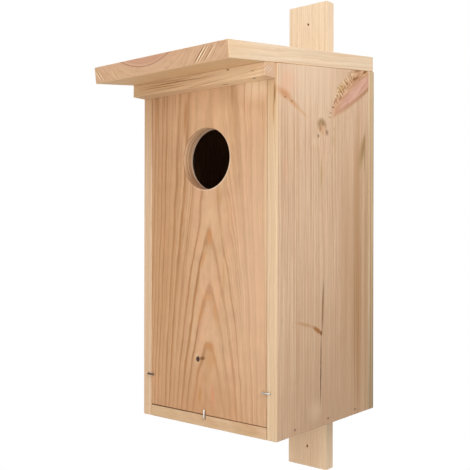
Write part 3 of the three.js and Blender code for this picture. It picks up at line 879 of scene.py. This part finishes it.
def roof_pine(colours, slope):
    """Planed pine with its grain down the slope: its front end shows the rings as wide arcs."""
    grain = grain_of(
        colours, eaves(), (degrees(slope) - 90, 0, 0), seed=9.0, wander=5.0, bumps=1.2, pith=(-17, -96),
        taper=(0.01, 0.01, 0.01), rings=(0.0, 0.25, 0.0), strength=(0.24, 0.24), wood=colours.roof_wood,
        lines=linear("#D3AE80"), blush="#EBC6A2", streaks=0.2, end=(0.80, 0.66, 0.58, 1), end_lines=0.35,
    )
    end = -bpy.context.scene.nest_box_sizes.roof_overhang / MM
    # the underside is tinted yellower, and the front of the side edge
    marks = (
        ((0, 1, 0), (400, 2.5, 500), 0, 0.5, "#E0AE6A", 0.5),
        ((119, -11, end), (4, 40, 70), 0, 0.9, "#DDBA8E", 0.4),
    ) + tuple(
        ((x, y, end), (reach, width, 24), 0, soft, code, share, 0, roll)
        for x, y, reach, width, roll, soft, code, share in (
            # pink heartwood in a shallow bowl
            (-21, -22, 46, 12, 0, 0.5, "#C49178", 0.65),
            (20, -21, 50, 9, 0, 1.0, "#C99A78", 0.5),
            # steep lines, brown and cream, near the right end
            (72, -11, 16, 1.1, -45, 0.5, "#7E5433", 0.9),
            (74.6, -11, 16, 1.3, -45, 0.5, "#F8DDB8", 0.95),
            (77.2, -11, 16, 1.1, -45, 0.5, "#885C3A", 0.85),
            (79.6, -11, 16, 1.1, -45, 0.5, "#F2D2A8", 0.8),
            (82, -11, 16, 0.9, -45, 0.5, "#9A6E4A", 0.6),
            (88, -11, 16, 1.0, -45, 0.5, "#946644", 0.75),
            (90.4, -11, 16, 1.2, -45, 0.5, "#F0D0A6", 0.75),
            (59, -12, 15, 1.2, -45, 0.5, "#E9C79E", 0.3),
            (55, -12, 15, 1.0, -45, 0.5, "#AF835C", 0.4),
            (47, -12, 15, 1.0, -45, 0.6, "#B58A64", 0.35),
            (107, -11, 15, 1.2, -45, 0.6, "#E3BF95", 0.45),
            # and the other way near the left end
            (-112, -10, 11, 1.0, 55, 0.5, "#F2D6AC", 0.85),
            (-109.4, -10, 11, 1.0, 55, 0.5, "#9C7350", 0.7),
            (-106.6, -10, 11, 1.0, 55, 0.5, "#F0D2A8", 0.75),
            (-103.6, -10, 11, 1.0, 55, 0.5, "#A87E58", 0.5),
            (-81, -8, 10, 1.3, 52, 0.6, "#DCC183", 0.6),
            (-77, -8, 10, 1.0, 52, 0.6, "#A8835A", 0.4),
            (-74, -8, 10, 1.3, 52, 0.6, "#DCC183", 0.5),
        )
    )
    return pine("planed_pine_roof", grain, marks, heart_arcs)


def heart_arcs(add, place, colour, height):
    """Two dark rings round the roof board's heartwood, plain only in its front end."""
    end = -bpy.context.scene.nest_box_sizes.roof_overhang / MM
    front = ellipse(add, place, (-21, -22, end), (60, 30, 24), soft=0.2)
    out = add("VectorMath", place, (-21, -101.4, 0), operation="SUBTRACT")
    out = add("VectorMath", out, (1, 1, 0), operation="MULTIPLY")
    out = add("VectorMath", out, out=1, operation="LENGTH")
    for radius, width, code, strength in ((90.7, 1.1, "#93604A", 0.8), (86, 1.0, "#B07C62", 0.35)):
        off = add("Math", out, radius, operation="SUBTRACT")
        off = add("Math", off, operation="ABSOLUTE")
        line = add("MapRange", off, width, 0, 0, strength, interpolation_type="SMOOTHSTEP")
        line = add("Math", line, front, operation="MULTIPLY")
        colour = tone(add, colour, line, code)
    return colour, height


def lath_pine(colours):
    """Sawn pine, pale, with straight grain."""
    grain = grain_of(
        colours, Vector((0, LATH_LOW.y, LATH_LOW.z)), (0, 0, 0), seed=11.0, pith=(60, 40),
        taper=(0.004, 0.004, 0.004), rings=(0.0, 0.3, 0.0), strength=(0.5, 0.5), wood=colours.lath_wood,
        lines=linear("#E6C596"), blush="#F0CFAC", streaks=0.2,
    )
    # painted shade: the lower end of the lath darker
    marks = (((0, 0, 0), (60, 60, 260), 0, 0.8, "#CDA781", 0.5),)
    return pine("sawn_pine_lath", grain, marks)


def bored_pine():
    """The wall of the entrance: the hole saw leaves rings of fuzz, darker than the planed face. Its pale wood is
    lightened as painted light, where the light falls into the bore.
    """
    material, add = new_material("bored_pine")
    place = board_place(add, FOOT)
    bend = add("TexNoise", {"Vector": place, "Scale": 0.05, "Detail": 2.0})
    depth = add("SeparateXYZ", place, out=1)
    deep = add("Math", bend, 6.0, depth, operation="MULTIPLY_ADD")
    lines = add("TexNoise", {"W": deep, "Scale": 0.45, "Detail": 2.0}, noise_dimensions="1D")
    lines = add("MapRange", lines, 0.46, 0.6, 0, 1)
    grit = add("TexNoise", {"Vector": place, "Scale": 0.9, "Detail": 3.0})
    # the pale wood is lightened beyond the board's: painted light falling in from the right front
    colour = add("Mix", lines, {6: linear("#FFD3A6"), 7: linear("#B87C4C")}, out=2, data_type="RGBA")
    colour = tone(add, colour, grit, "#F6CFB0", 0.3)
    # its lower part is darkened: painted shade
    height = add("SeparateXYZ", place, out=2)
    low = add("MapRange", height, 368, 330, 0, 0.6, interpolation_type="SMOOTHSTEP")
    colour = tone(add, colour, low, "#7A4A2A")
    # and its last millimetres inside are paler
    rim = add("MapRange", depth, 16, 20, 0, 1)
    colour = tone(add, colour, rim, "#FFE9D2", 0.9)
    normal = add("Bump", {"Strength": 0.5, "Distance": 0.2 * MM, "Height": lines})
    shader = add("BsdfPrincipled", {"Base Color": colour, "Roughness": 0.85, "Normal": normal})
    add("OutputMaterial", shader)
    return material


def sawn_pine():
    """The walls' inner faces, left rough from the saw for the birds to grip: dull and ribbed, their brown darkened
    beyond the wood's as painted shade for the inside of the box.
    """
    material, add = new_material("rough_sawn_pine_painted_shade")
    place = board_place(add, FOOT)
    # the saw's ribs are about two millimetres apart, the torn fibres run up the board
    rib = add("VectorMath", place, (0.01, 0.01, 0.5), operation="MULTIPLY")
    rib = add("TexNoise", {"Vector": rib, "Scale": 1.0, "Detail": 2.0})
    fibre = add("VectorMath", place, (0.5, 0.5, 0.03), operation="MULTIPLY")
    fibre = add("TexNoise", {"Vector": fibre, "Scale": 1.0, "Detail": 4.0})
    mask = add("MapRange", fibre, 0.35, 0.65, 0, 1)
    # dark browns: painted shade for the inside of the box, with paler torn fibres
    colour = add("Mix", mask, {6: linear("#87623F"), 7: linear("#A88058")}, out=2, data_type="RGBA")
    height = add("Math", rib, 1.5, fibre, operation="MULTIPLY_ADD")
    normal = add("Bump", {"Strength": 0.6, "Distance": 0.3 * MM, "Height": height})
    shader = add("BsdfPrincipled", {"Base Color": colour, "Roughness": 0.9, "Normal": normal})
    add("OutputMaterial", shader)
    return material


def drawn_steel(name, colour, rough):
    """Drawn steel wire: bright, a little uneven, with specks of grime about a millimetre wide."""
    material, add = new_material(name)
    place = add("TexCoord", out=3)
    grime = add("TexNoise", {"Vector": place, "Scale": 0.9 / MM, "Detail": 3.0})
    share = add("MapRange", grime, 0.45, 0.75, 0, 0.6)
    colour = add("Mix", share, {6: colour, 7: linear("#5A4E46")}, out=2, data_type="RGBA")
    gloss = add("MapRange", grime, 0.3, 0.7, rough, rough + 0.18)
    normal = add("Bump", {"Strength": 0.2, "Distance": 0.02 * MM, "Height": grime})
    shader = add("BsdfPrincipled", {"Base Color": colour, "Metallic": 1.0, "Roughness": gloss, "Normal": normal})
    add("OutputMaterial", shader)
    return material


# ---------------------------------------------------------------- operators


class Builder:
    """What the operators below share: each builds from the scene's sizes and colours."""

    def execute(self, context):
        self.build(context.scene.nest_box_sizes, context.scene.nest_box_colours)
        return {"FINISHED"}


class FrontBoard(Builder, bpy.types.Operator):
    """Build the front board with its round entrance"""

    bl_idname = "nest_box.front_board"
    bl_label = "Front board"

    def build(self, sizes, colours):
        swell = Vector((sizes.front_swell, 0, 0))
        board = block("front_board", FRONT_LOW - swell, FRONT_HIGH + swell)
        edit(board, "VERT", lambda v: v.co.x < 0 and v.co.z < 0)
        bpy.ops.transform.translate(value=(0, 0, sizes.seam_lift))
        leave()
        middle = Vector((0, FRONT_LOW.y, FOOT.z + sizes.entrance_height))
        depth = FRONT_HIGH.y - FRONT_LOW.y + MM
        bore(board, [drill_rod(middle, (0, 1, 0), depth, sizes.entrance_diameter, sizes.facets)])
        ease(board, sizes.front_arris)
        paints = [front_pine(colours), bored_pine(), sawn_pine()]
        finish_piece(board, "front", "front_panel", paints, inside=(0, 1, 0))
        # the wall of the entrance gets the second paint
        reach = sizes.entrance_diameter / 2 + sizes.front_arris / 2
        for face in board.data.polygons:
            corners = [board.data.vertices[v].co - middle for v in face.vertices]
            if all(c.x**2 + c.z**2 < reach**2 for c in corners):
                face.material_index = 1


class SideBoards(Builder, bpy.types.Operator):
    """Build the two side boards, their top edges sawn to the roof's slope"""

    bl_idname = "nest_box.side_boards"
    bl_label = "Side boards"

    def build(self, sizes, colours):
        for hand, name, low, high in ((-1, "left", LEFT_LOW, LEFT_HIGH), (1, "right", SIDE_LOW, SIDE_HIGH)):
            board = block(name + "_side_board", low, high)
            saw(board, eaves(), roof_normal(sizes.roof_slope))
            paints = [side_pine(colours, "planed_pine_" + name, hand), sawn_pine()]
            finish_board(board, sizes, name + "_side_panel", paints, sizes.near_arris, (-hand, 0, 0))


class BackBoard(Builder, bpy.types.Operator):
    """Build the back board"""

    bl_idname = "nest_box.back_board"
    bl_label = "Back board"

    def build(self, sizes, colours):
        board = block("back_board", BACK_LOW, BACK_HIGH)
        saw(board, eaves(), roof_normal(sizes.roof_slope))
        paints = [back_pine(colours), sawn_pine()]
        finish_board(board, sizes, "back_panel", paints, sizes.arris, (0, -1, 0))


class FloorBoard(Builder, bpy.types.Operator):
    """Build the floor with its drain holes"""

    bl_idname = "nest_box.floor_board"
    bl_label = "Floor"

    def build(self, sizes, colours):
        board = block("floor", FLOOR_LOW, FLOOR_HIGH)
        inset, depth = sizes.drain_inset, FLOOR_HIGH.z - FLOOR_LOW.z + MM
        bore(board, [
            drill_rod((x, y, FLOOR_LOW.z), (0, 0, 1), depth, sizes.drain_diameter, sides=32)
            for x in (FLOOR_LOW.x + inset, FLOOR_HIGH.x - inset)
            for y in (FLOOR_LOW.y + inset, FLOOR_HIGH.y - inset)
        ])
        finish_board(board, sizes, "floor_board", [floor_pine(colours)], sizes.arris)


class RoofBoard(Builder, bpy.types.Operator):
    """Build the sloping roof board"""

    bl_idname = "nest_box.roof_board"
    bl_label = "Roof"

    def build(self, sizes, colours):
        slope = sizes.roof_slope
        top = sizes.roof_seat + sizes.roof_thickness
        # longer at the back than it will be, to be sawn upright there
        spare = MM * 10
        back = (ROOF_HIGH.y - SIDE_LOW.y) / cos(slope) + spare
        board = block("roof", (ROOF_LOW.x, -sizes.roof_overhang, sizes.roof_seat), (ROOF_HIGH.x, back, top), slope)
        saw(board, (0, ROOF_HIGH.y, 0), (0, 1, 0))
        finish_board(board, sizes, "roof_board", [roof_pine(colours, slope)], sizes.arris)


class RoofBatten(Builder, bpy.types.Operator):
    """Build the batten under the roof"""

    bl_idname = "nest_box.roof_batten"
    bl_label = "Batten"

    def build(self, sizes, colours):
        slope = sizes.roof_slope
        # its top is planed to the roof's slope, so it is higher at the back
        rise = (BATTEN_HIGH.y - BATTEN_LOW.y) * tan(slope) + sizes.roof_seat
        board = block("batten", BATTEN_LOW, BATTEN_HIGH + Vector((0, 0, rise)))
        saw(board, roof_point(0, 0, sizes.roof_seat / 2, slope), roof_normal(slope))
        finish_board(board, sizes, "top_batten", [batten_pine(colours)], sizes.arris / 2)


class HangingLath(Builder, bpy.types.Operator):
    """Build the lath that the box hangs by"""

    bl_idname = "nest_box.hanging_lath"
    bl_label = "Lath"

    def build(self, sizes, colours):
        board = block("lath", LATH_LOW, LATH_HIGH)
        depth = LATH_HIGH.y - LATH_LOW.y + MM
        bore(board, [
            drill_rod((0, LATH_LOW.y, z), (0, 1, 0), depth, sizes.pilot_diameter)
            for z in (LATH_LOW.z + sizes.pilot_inset, LATH_HIGH.z - sizes.pilot_inset)
        ])
        finish_board(board, sizes, "mounting_lath", [lath_pine(colours)], sizes.arris)


def brad_kinds(sizes):
    """The way each brad's head looks, and the boards that it passes through, by its name in the CAD."""
    front, back, up = (0, -1, 0), (0, 1, 0), roof_normal(sizes.roof_slope)
    kinds = {}
    for hand, out in (("left", (-1, 0, 0)), ("right", (1, 0, 0))):
        side = hand + "_side_panel"
        for i in (1, 2, 3):
            kinds[f"{hand}_floor_brad_{i}"] = (out, (side, "floor_board"))
            kinds[f"{hand}_back_brad_{i}"] = (back, ("back_panel", side))
            kinds[f"{hand}_roof_brad_{i}"] = (up, ("roof_board", side))
        kinds[f"{hand}_batten_brad"] = (front, ("top_batten", side))
        kinds[f"{hand}_back_floor_brad"] = (back, ("back_panel", "floor_board"))
        kinds[f"{hand}_roof_back_brad"] = (up, ("roof_board", "back_panel"))
        for i in (1, 2):
            kinds[f"{hand}_lath_brad_{i}"] = (back, ("mounting_lath", "back_panel"))
    return kinds


def corners_of(node):
    return [v.co.copy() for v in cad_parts[node].data.vertices]


def end_middle(corners, way):
    """The middle of the end that looks this way."""
    far, slack = max(c.dot(way) for c in corners), MM / 50
    end = [c for c in corners if c.dot(way) > far - slack]
    return sum(end, Vector()) / len(end)


def brad_ends(node, way):
    """The middle of a CAD brad's head, and its tip."""
    corners, way = corners_of(node), Vector(way)
    return end_middle(corners, way), min(corners, key=lambda c: c.dot(way))


# The board that each bent nail is driven into, and its turn about its shank in degrees
TURN_NAILS = {
    "left_turn_nail": ("left_side_panel", 0),
    "right_turn_nail": ("right_side_panel", 180),
    "bottom_turn_nail": ("floor_board", -90),
}


def nail_foot(node):
    """Where a bent nail enters the wood: its shank's middle on the front of the box."""
    middle = end_middle(corners_of(node), Vector((0, 1, 0)))
    return Vector((middle.x, FOOT.y, middle.z))


def nail_rods(sizes, board):
    """Cutters for all the nail holes of one board."""
    rods = []
    room = 2 * sizes.brad_play
    mouth_depth, pocket_depth, brad_sides = 2.3 * MM, 0.3 * MM, 16
    for node, (way, boards) in brad_kinds(sizes).items():
        if board in boards:
            head, tip = brad_ends(node, way)
            inward = (tip - head).normalized()
            depth = (tip - head).length + sizes.brad_play
            if board == "top_batten":
                # these two are stopped with putty, so their holes end under the surface
                head, depth = head + inward * MM, depth - MM
                rods.append(drill_rod(head, inward, pocket_depth, sizes.brad_head + room))
            elif board == boards[0]:
                rods.append(drill_rod(head - inward * MM, inward, mouth_depth, sizes.brad_head + room))
            rods.append(drill_rod(head, inward, depth, sizes.brad_diameter + room, brad_sides))
    for node, (target, _) in TURN_NAILS.items():
        if board == target:
            depth = sizes.wire_depth + sizes.brad_play
            rods.append(drill_rod(nail_foot(node), (0, 1, 0), depth, sizes.wire_diameter + room))
    return rods


class Brads(Builder, bpy.types.Operator):
    """Build the brads, punched just below the wood"""

    bl_idname = "nest_box.brads"
    bl_label = "Brads"

    def build(self, sizes, colours):
        steel = drawn_steel("dull_steel_brads", colours.brad, 0.5)
        patterns = {}
        for node, (way, _) in brad_kinds(sizes).items():
            head, tip = brad_ends(node, way)
            reach = round((tip - head).length, 5)
            if reach not in patterns:
                patterns[reach] = self.pattern(sizes, reach)
            place = Matrix.Translation(head) @ (head - tip).to_track_quat("Z", "Y").to_matrix().to_4x4()
            place_copy(patterns[reach], node + "_pin", place, steel, "frame", node)
        for pattern in patterns.values():
            bpy.data.meshes.remove(pattern)

    def pattern(self, sizes, reach):
        """One brad, with the top of its head at the origin and its point down."""
        head_height, point = 1.2 * MM, 3 * MM
        shank = reach - head_height - point
        flare, crown, dish, sharpness = sizes.brad_head / sizes.brad_diameter, 0.84, 0.12, 0.08
        choose()
        bpy.ops.mesh.primitive_cylinder_add(
            vertices=20, radius=sizes.brad_diameter / 2, depth=shank, location=(0, 0, -head_height - shank / 2)
        )
        brad = settle("brad_pattern")
        edit(brad, "FACE", lambda f: f.normal.z > 0.9)
        extrude()
        bpy.ops.transform.resize(value=(flare, flare, 1))
        extrude(z=head_height * 0.8)
        extrude(z=head_height * 0.2)
        bpy.ops.transform.resize(value=(crown, crown, 1))
        bpy.ops.mesh.inset(thickness=sizes.brad_head * dish, depth=-head_height * dish)
        leave()
        edit(brad, "FACE", lambda f: f.normal.z < -0.9 and f.calc_center_median().z < -shank)
        extrude(z=-point)
        bpy.ops.transform.resize(value=(sharpness, sharpness, 1))
        leave()
        return take_form(brad, 35)


class TurnNails(Builder, bpy.types.Operator):
    """Build the three bent nails that hold the front board"""

    bl_idname = "nest_box.turn_nails"
    bl_label = "Bent nails"

    def build(self, sizes, colours):
        bright = drawn_steel("drawn_steel_nails", colours.wire, 0.28)
        # a darker copy of the steel, painted shade for the left nail
        dark = drawn_steel("shade_painted_steel_nail", linear("#5B5350"), 0.42)
        wire = self.wire(sizes)
        for node, (_, turn) in TURN_NAILS.items():
            place = Matrix.Translation(nail_foot(node)) @ Matrix.Rotation(radians(turn), 4, "Y")
            # the left nail takes the darker steel: painted shade
            steel = dark if node.startswith("left") else bright
            name, body = node.replace("turn", "bent"), node.replace("_turn_nail", "_nail")
            place_copy(wire, name, place, steel, body, node)
        bpy.data.meshes.remove(wire)

    def wire(self, sizes):
        """A bent nail in its own frame: the shank goes in along +Y, the arm points along +X."""
        radius, bend, stand = sizes.wire_diameter / 2, sizes.wire_bend, 0.3 * MM
        end, end_width = radius * 0.35, 0.72
        choose()
        bpy.ops.mesh.primitive_circle_add(
            vertices=20, radius=radius, fill_type="NGON", location=(0, sizes.wire_depth, 0),
            rotation=(radians(90), 0, 0),
        )
        nail = settle("bent_nail")
        edit(nail)
        extrude(y=-sizes.wire_depth - stand)
        bpy.ops.mesh.spin(steps=10, angle=radians(-90), center=(bend, -stand, 0), axis=(0, 0, 1), dupli=False)
        extrude(x=sizes.wire_arm - bend - end)
        extrude(x=end)
        bpy.ops.transform.resize(value=(1, end_width, end_width))
        bpy.ops.mesh.select_all(action="SELECT")
        bpy.ops.mesh.remove_doubles(threshold=MM / 100)
        bpy.ops.mesh.normals_make_consistent(inside=False)
        leave()
        return take_form(nail, 40)


class Studio(bpy.types.Operator):
    """Set up the camera, the lamps and the pale floor"""

    bl_idname = "nest_box.studio"
    bl_label = "Studio"

    def execute(self, context):
        scene = context.scene
        scene.view_settings.view_transform = "Standard"
        self.camera(scene)
        self.floor(scene)
        self.lamps(scene)
        self.sky(scene)
        return {"FINISHED"}

    def camera(self, scene):
        """The camera stands where it sees the box as the photograph shows it."""
        sensor, photo_width, focal_pixels = 36, 470, 742.53
        lens = bpy.data.cameras.new("camera")
        lens.sensor_width = sensor
        lens.lens = focal_pixels / photo_width * sensor
        lens.shift_x = -0.0018
        lens.shift_y = 0.0022
        lens.clip_start = 0.01
        camera = bpy.data.objects.new("camera", lens)
        camera.location = (0.67056, -1.01988, -0.00131)
        camera.rotation_euler = (radians(90), radians(-0.1096), radians(39.355))
        scene.collection.objects.link(camera)
        scene.camera = camera

    def floor(self, scene):
        """The box hangs on a tree, so the floor lies well below it."""
        drop = 0.75
        choose()
        bpy.ops.mesh.primitive_circle_add(
            vertices=96, radius=2.2, fill_type="NGON", location=(0, -0.2, LATH_LOW.z - drop)
        )
        floor = settle("studio_floor")
        material, add = new_material("studio_paper")
        add("OutputMaterial", add("BsdfDiffuse", scene.nest_box_colours.ground))
        floor.data.materials.append(material)

    def lamps(self, scene):
        aim = Vector((0, -0.12, 0.02))
        for name, place, size, power in (
            ("key", (1.35, -0.75, 0.85), 1.1, 20),
            ("top", (0.2, -0.9, 2.2), 1.4, 8),
            ("front", (-0.2, -1.5, 0.15), 1.2, 6.5),
            ("low", (0.3, -1.5, -0.6), 1.0, 3.5),
            ("back", (-1.0, 2.0, 1.3), 1.6, 22),
        ):
            lamp = bpy.data.lights.new(name, "AREA")
            lamp.size = size
            lamp.energy = power
            holder = bpy.data.objects.new(name, lamp)
            holder.location = place
            holder.rotation_euler = (aim - Vector(place)).to_track_quat("-Z", "Y").to_euler()
            scene.collection.objects.link(holder)

    def sky(self, scene):
        """An even pale room that the camera and metal see as white."""
        world = bpy.data.worlds.new("studio_room")
        scene.world = world
        world.use_nodes = True
        world.node_tree.nodes.clear()
        add = partial(add_node, world.node_tree)
        path = add("LightPath").node
        seen = path.outputs["Is Camera Ray"]
        for ray in ("Is Glossy Ray", "Is Transmission Ray"):
            seen = add("Math", seen, path.outputs[ray], operation="MAXIMUM")
        light, white = (add("Background", {"Color": (1, 1, 1, 1), "Strength": power}) for power in (0.3, 1.0))
        add("OutputWorld", add("MixShader", seen, light, white))


class NestBoxPanel(bpy.types.Panel):
    bl_idname = "NEST_BOX_PT_build"
    bl_label = "Nest box"
    bl_space_type = "VIEW_3D"
    bl_region_type = "UI"
    bl_category = "Nest Box"

    def draw(self, context):
        for operator in BUILDERS:
            self.layout.operator(operator.bl_idname)
        for group in (context.scene.nest_box_sizes, context.scene.nest_box_colours):
            box = self.layout.box()
            for name in group.__annotations__:
                box.prop(group, name)


BUILDERS = (
    Studio,
    FrontBoard,
    SideBoards,
    BackBoard,
    FloorBoard,
    RoofBoard,
    RoofBatten,
    HangingLath,
    Brads,
    TurnNails,
)
CLASSES = (NestBoxSizes, NestBoxColours) + BUILDERS + (NestBoxPanel,)


def register():
    for part in CLASSES:
        bpy.utils.register_class(part)
    bpy.types.Scene.nest_box_sizes = PointerProperty(type=NestBoxSizes)
    bpy.types.Scene.nest_box_colours = PointerProperty(type=NestBoxColours)


def unregister():
    del bpy.types.Scene.nest_box_colours
    del bpy.types.Scene.nest_box_sizes
    for part in reversed(CLASSES):
        bpy.utils.unregister_class(part)


def main():
    register()
    bpy.ops.nest_box.studio()
    bpy.ops.nest_box.front_board()
    bpy.ops.nest_box.side_boards()
    bpy.ops.nest_box.back_board()
    bpy.ops.nest_box.floor_board()
    bpy.ops.nest_box.roof_board()
    bpy.ops.nest_box.roof_batten()
    bpy.ops.nest_box.hanging_lath()
    bpy.ops.nest_box.brads()
    bpy.ops.nest_box.turn_nails()


if __name__ == "__main__":
    main()
